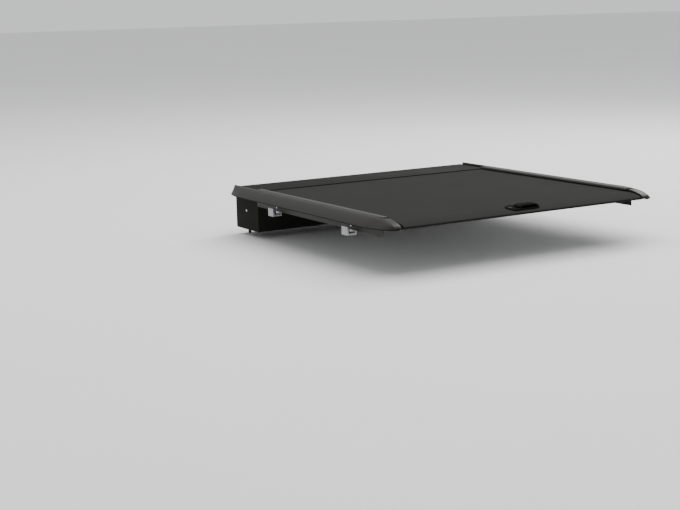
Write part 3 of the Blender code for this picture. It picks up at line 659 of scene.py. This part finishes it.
def make_curtain():
    """The vinyl sheet over the slats, with the slightest dip at each joint between two slats."""
    pitch = (SKIN_HIGH.y - SKIN_LOW.y) / SLATS
    profile = []
    for slat in range(SLATS + 1):
        y = SKIN_LOW.y + slat * pitch
        if 0 < slat < SLATS:
            for share, depth in GROOVE_PROFILE:
                profile.append((y + share * GROOVE_WIDTH / 2, COVER_Z - depth * GROOVE_DEPTH))
        else:
            profile.append((y, COVER_Z))
    columns = 24
    width = SKIN_HIGH.x - SKIN_LOW.x
    bm = bmesh.new()
    tops = []
    bottoms = []
    for y, z in profile:
        xs = [SKIN_LOW.x + width * i / columns for i in range(columns + 1)]
        tops.append([bm.verts.new((x, y, z)) for x in xs])
        bottoms.append([bm.verts.new((x, y, SKIN_LOW.z)) for x in xs])
    for rows in (tops, bottoms):
        for row, following in zip(rows, rows[1:]):
            for i in range(columns):
                bm.faces.new((row[i], row[i + 1], following[i + 1], following[i]))
    for row in (0, -1):
        for i in range(columns):
            bm.faces.new((tops[row][i], tops[row][i + 1], bottoms[row][i + 1], bottoms[row][i]))
    for column in (0, -1):
        for row in range(len(profile) - 1):
            near = (tops[row][column], bottoms[row][column])
            far = (tops[row + 1][column], bottoms[row + 1][column])
            bm.faces.new((near[0], far[0], far[1], near[1]))
    skin = finish_mesh("vinyl_curtain", bm, [MATERIALS["cover_vinyl"]])
    stand_for(skin, ROOT, "cover_vinyl", "vinyl_skin")
    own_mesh(skin)


# The handle

def handle_frame():
    """A place on the tail bar's surface, tilted with its slope."""
    share = (CURVE_START_Y - HANDLE_Y) / CURVE_LENGTH
    slope = CURVE_DROP / CURVE_LENGTH * share / math.sqrt(1 - share ** 2)
    place = Matrix.Translation((0, HANDLE_Y, COVER_Z - tail_fall(HANDLE_Y)))
    return place @ Matrix.Rotation(math.atan(slope), 4, "X")


HANDLE_FRAME = handle_frame()


def stack(outlines):
    """A closed skin through (outline, height) rings given from the bottom to the top."""
    return loft([[(x, y, z) for x, y in outline] for outline, z in outlines])


def handle_piece(name, outlines, slot="handle_plastic"):
    """A piece given as (outline, height) rings in the handle's own frame."""
    piece = finish_mesh(name, stack(outlines), [MATERIALS[slot]])
    piece.matrix_world = HANDLE_FRAME
    return piece


def pocket_loop(front, rear, radius):
    """Outline of the finger pocket, or of the lever's notch above it."""
    corners = [(POCKET_LEFT, rear), (POCKET_RIGHT, rear), (POCKET_RIGHT, front), (POCKET_LEFT, front)]
    return rounded(corners, radius, 8)


def lock_circle(radius):
    return arc((LOCK_X, 0), radius, 0, 360, LOCK_SIDES)[:-1]


def break_edges(piece, width, segments=2):
    """Rounds the piece's sharp edges with a bevel."""
    bevel = piece.modifiers.new("edges", "BEVEL")
    bevel.width = width
    bevel.segments = segments
    bevel.limit_method = "ANGLE"
    bevel.angle_limit = BEVEL_ANGLE
    bevel.harden_normals = True


def make_handle_housing():
    """The pan in the bar with its bezel, whose edge is rolled over and seated on the curved bar."""
    length = HANDLE_HALF_LENGTH + BEZEL_EDGE
    width = HANDLE_HALF_WIDTH + BEZEL_EDGE
    shoulder = BEZEL_TOP - BEZEL_ROLL
    outlines = [(stadium(0, 0, length, width), -BEZEL_TOP), (stadium(0, 0, length, width), shoulder)]
    steps = 6
    for i in range(1, steps + 1):
        angle = math.pi / 2 * i / steps
        shrink = BEZEL_ROLL * (1 - math.cos(angle))
        height = shoulder + BEZEL_ROLL * math.sin(angle)
        outlines.append((stadium(0, 0, length - shrink, width - shrink), height))
    housing = handle_piece("handle_housing_moulding", outlines)

    reach = HANDLE_HALF_WIDTH + SEAT_MARGIN
    steps = 24
    stations = [HANDLE_Y - reach + 2 * reach * i / steps for i in range(steps + 1)]
    seat = [(y, COVER_Z - tail_fall(y) + GAP) for y in stations]
    seat += [(stations[-1], HOUSING_BOTTOM), (stations[0], HOUSING_BOTTOM)]
    sections = [[(x, y, z) for y, z in seat] for x in (-length - CUT_REACH, length + CUT_REACH)]
    under = finish_mesh("seat", loft(sections), [MATERIALS["handle_plastic"]])
    apply_boolean(housing, under, "DIFFERENCE")

    outline = stadium(0, 0, HANDLE_HALF_LENGTH, HANDLE_HALF_WIDTH)
    pan = handle_piece("pan", [(outline, HOUSING_BOTTOM), (outline, shoulder)])
    apply_boolean(housing, pan, "UNION")
    outline = pocket_loop(POCKET_FRONT, POCKET_REAR, POCKET_CORNER)
    pocket = handle_piece("pocket", [(outline, POCKET_FLOOR), (outline, LEVER_TOP)])
    apply_boolean(housing, pocket, "DIFFERENCE")
    outline = lock_circle(LOCK_RADIUS + GAP)
    bore = handle_piece("bore", [(outline, LOCK_TOP - LOCK_DEPTH - GAP), (outline, LEVER_TOP)])
    apply_boolean(housing, bore, "DIFFERENCE")
    housing.data.set_sharp_from_angle(angle=SHARP_ANGLE)
    stand_for(housing, "tail", "handle_plastic", "handle_housing")


def make_lever():
    """The lift lever: a low crowned plate, notched at its rear edge over the finger pocket."""
    base = BEZEL_TOP + GAP
    side_top = base + LEVER_WALL
    rise = LEVER_TOP - LEVER_CROWN - side_top
    steps = 8

    def outline(shrink):
        return stadium(LEVER_X, 0, LEVER_HALF_LENGTH - shrink, LEVER_HALF_WIDTH - shrink)

    outlines = [(outline(LEVER_EDGE), base), (outline(0.0), base + LEVER_EDGE), (outline(0.0), side_top)]
    for i in range(1, steps + 1):
        angle = math.pi / 2 * i / steps
        shrink = LEVER_SHOULDER * (1 - math.cos(angle))
        outlines.append((outline(shrink), side_top + rise * math.sin(angle)))
    for share in LEVER_RINGS:
        shrink = LEVER_SHOULDER + (LEVER_HALF_WIDTH - LEVER_SHOULDER) * share
        outlines.append((outline(shrink), LEVER_TOP - LEVER_CROWN * (1 - share) ** 2))
    lever = handle_piece("handle_lever_moulding", outlines)
    loop = pocket_loop(NOTCH_FRONT, -CUT_REACH, NOTCH_CORNER)
    notch = handle_piece("notch", [(loop, 0.0), (loop, CUT_REACH)])
    apply_boolean(lever, notch, "DIFFERENCE")
    lever.data.set_sharp_from_angle(angle=SHARP_ANGLE)
    break_edges(lever, LEVER_EDGE, 3)
    stand_for(lever, "lever", "handle_plastic", "handle_lever")


def make_lock():
    """The key barrel with a rounded rim, a sunk face and a keyway."""
    outlines = [(lock_circle(LOCK_RADIUS - inset), LOCK_TOP - depth) for inset, depth in LOCK_PROFILE]
    lock = handle_piece("lock_barrel", outlines, "lock_metal")
    left = LOCK_X - KEYWAY_HALF_WIDTH
    right = LOCK_X + KEYWAY_HALF_WIDTH
    reach = KEYWAY_HALF_LENGTH
    slot = rounded([(left, -reach), (right, -reach), (right, reach), (left, reach)], KEYWAY_CORNER, 3)
    keyway = handle_piece("keyway", [(slot, LOCK_TOP - KEYWAY_DEPTH), (slot, CUT_REACH)], "lock_metal")
    apply_boolean(lock, keyway, "DIFFERENCE")
    lock.data.set_sharp_from_angle(angle=SHARP_ANGLE)
    stand_for(lock, "lock", "lock_metal", "lock_cylinder")


# Hardware: the CAD shapes with their edges broken

def refine(node, slot, look, width):
    """A copy of the CAD node whose sharp edges are rounded, which stands for it."""
    source = frame["nodes"][node]
    bm = bmesh.new()
    bm.from_mesh(source.data)
    bmesh.ops.remove_doubles(bm, verts=bm.verts, dist=MERGE_DISTANCE)
    bmesh.ops.dissolve_limit(bm, angle_limit=FLAT_ANGLE, verts=bm.verts, edges=bm.edges)
    piece = finish_mesh(f"{node}_finished", bm, [MATERIALS[look]])
    break_edges(piece, width)
    return stand_for(piece, source["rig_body"], slot, node)


def edge_width(node):
    matching = [width for stem, width in EDGE_WIDTHS.items() if node.startswith(stem)]
    return matching[0] if matching else 0.0


def finish_hardware():
    """Each CAD node that nothing stands for yet gets its material, and a bevel where it is listed."""
    for entry in frame["record"]["subparts"]:
        node = entry["node"]
        slot = entry["material_slot"]
        if frame["nodes"][node].hide_render:
            continue
        width = edge_width(node)
        # the rails take the lighter copy of the coating, which is painted light on their tops
        look = "lit_rail_coat" if node.startswith("guide_rail") else slot
        if width:
            piece = refine(node, slot, look, width)
        else:
            piece = frame["nodes"][node]
            piece.data.materials.clear()
            piece.data.materials.append(MATERIALS[look])
        if node == "tail_bar":
            wrap_in_vinyl(piece)


def wrap_in_vinyl(piece):
    """The vinyl runs on from the curtain over the bar's whole upper face."""
    piece.data.materials.append(MATERIALS["cover_vinyl"])
    for face in piece.data.polygons:
        if face.normal.z > UPWARD:
            face.material_index = 1


# Camera, floor and lights

def make_camera():
    """Looks from behind the left rear corner, at the photo's angle."""
    yaw, pitch, roll = (math.radians(angle) for angle in (CAMERA_YAW, CAMERA_PITCH, CAMERA_ROLL))
    forward = Vector((math.sin(yaw) * math.cos(pitch), math.cos(yaw) * math.cos(pitch), -math.sin(pitch)))
    level = Vector((math.cos(yaw), -math.sin(yaw), 0))
    above = level.cross(forward)
    right = level * math.cos(roll) + above * math.sin(roll)
    up = above * math.cos(roll) - level * math.sin(roll)
    data = bpy.data.cameras.new("camera")
    data.lens = CAMERA_LENS
    data.sensor_width = CAMERA_SENSOR
    camera = bpy.data.objects.new("camera", data)
    turn = Matrix((right, up, -forward)).transposed()
    camera.matrix_world = Matrix.Translation(CAMERA_PLACE) @ turn.to_4x4()
    bpy.context.scene.collection.objects.link(camera)
    bpy.context.scene.camera = camera


def make_floor():
    """A pale floor just below the lowest piece."""
    bm = bmesh.new()
    reach = FLOOR_REACH
    corners = [(-reach, -reach), (reach, -reach), (reach, reach), (-reach, reach)]
    bm.faces.new([bm.verts.new((x, y, CAD_LOW.z - FLOOR_GAP)) for x, y in corners])
    pale = new_material("pale_floor", (0.80, 0.80, 0.79), 0.85, specular=0.2)
    add_variation(pale, (0.79, 0.79, 0.78), (0.81, 0.81, 0.80), 0.6)
    floor = finish_mesh("floor", bm, [pale])


def add_light(name, place, size, power):
    """A square area light that faces the origin."""
    data = bpy.data.lights.new(name, "AREA")
    data.size = size
    data.energy = power
    light = bpy.data.objects.new(name, data)
    light.location = place
    light.rotation_mode = "QUATERNION"
    light.rotation_quaternion = (-Vector(place)).to_track_quat("-Z", "Y")
    bpy.context.scene.collection.objects.link(light)


def make_lights():
    """A pale world, a large light overhead and a softer key from the right."""
    world = bpy.data.worlds.new("studio")
    world.use_nodes = True
    background = world.node_tree.nodes["Background"]
    background.inputs["Color"].default_value = (0.97, 0.98, 1.0, 1.0)
    background.inputs["Strength"].default_value = 0.85
    bpy.context.scene.world = world
    add_light("key", (5.0, 2.0, 4.5), 3.0, 260)
    add_light("overhead", (0.0, 0.0, 8.0), 12.0, 900)


for side, sign in SIDES:
    make_bed_cap(side, sign)
    make_rear_end_cap(side, sign)
    make_front_corner_cap(side, sign)
    make_cap_gasket(side, sign)
make_canister_lid()
make_curtain()
make_handle_housing()
make_lever()
make_lock()
finish_hardware()
make_camera()
make_floor()
make_lights()

bpy.context.view_layer.update()
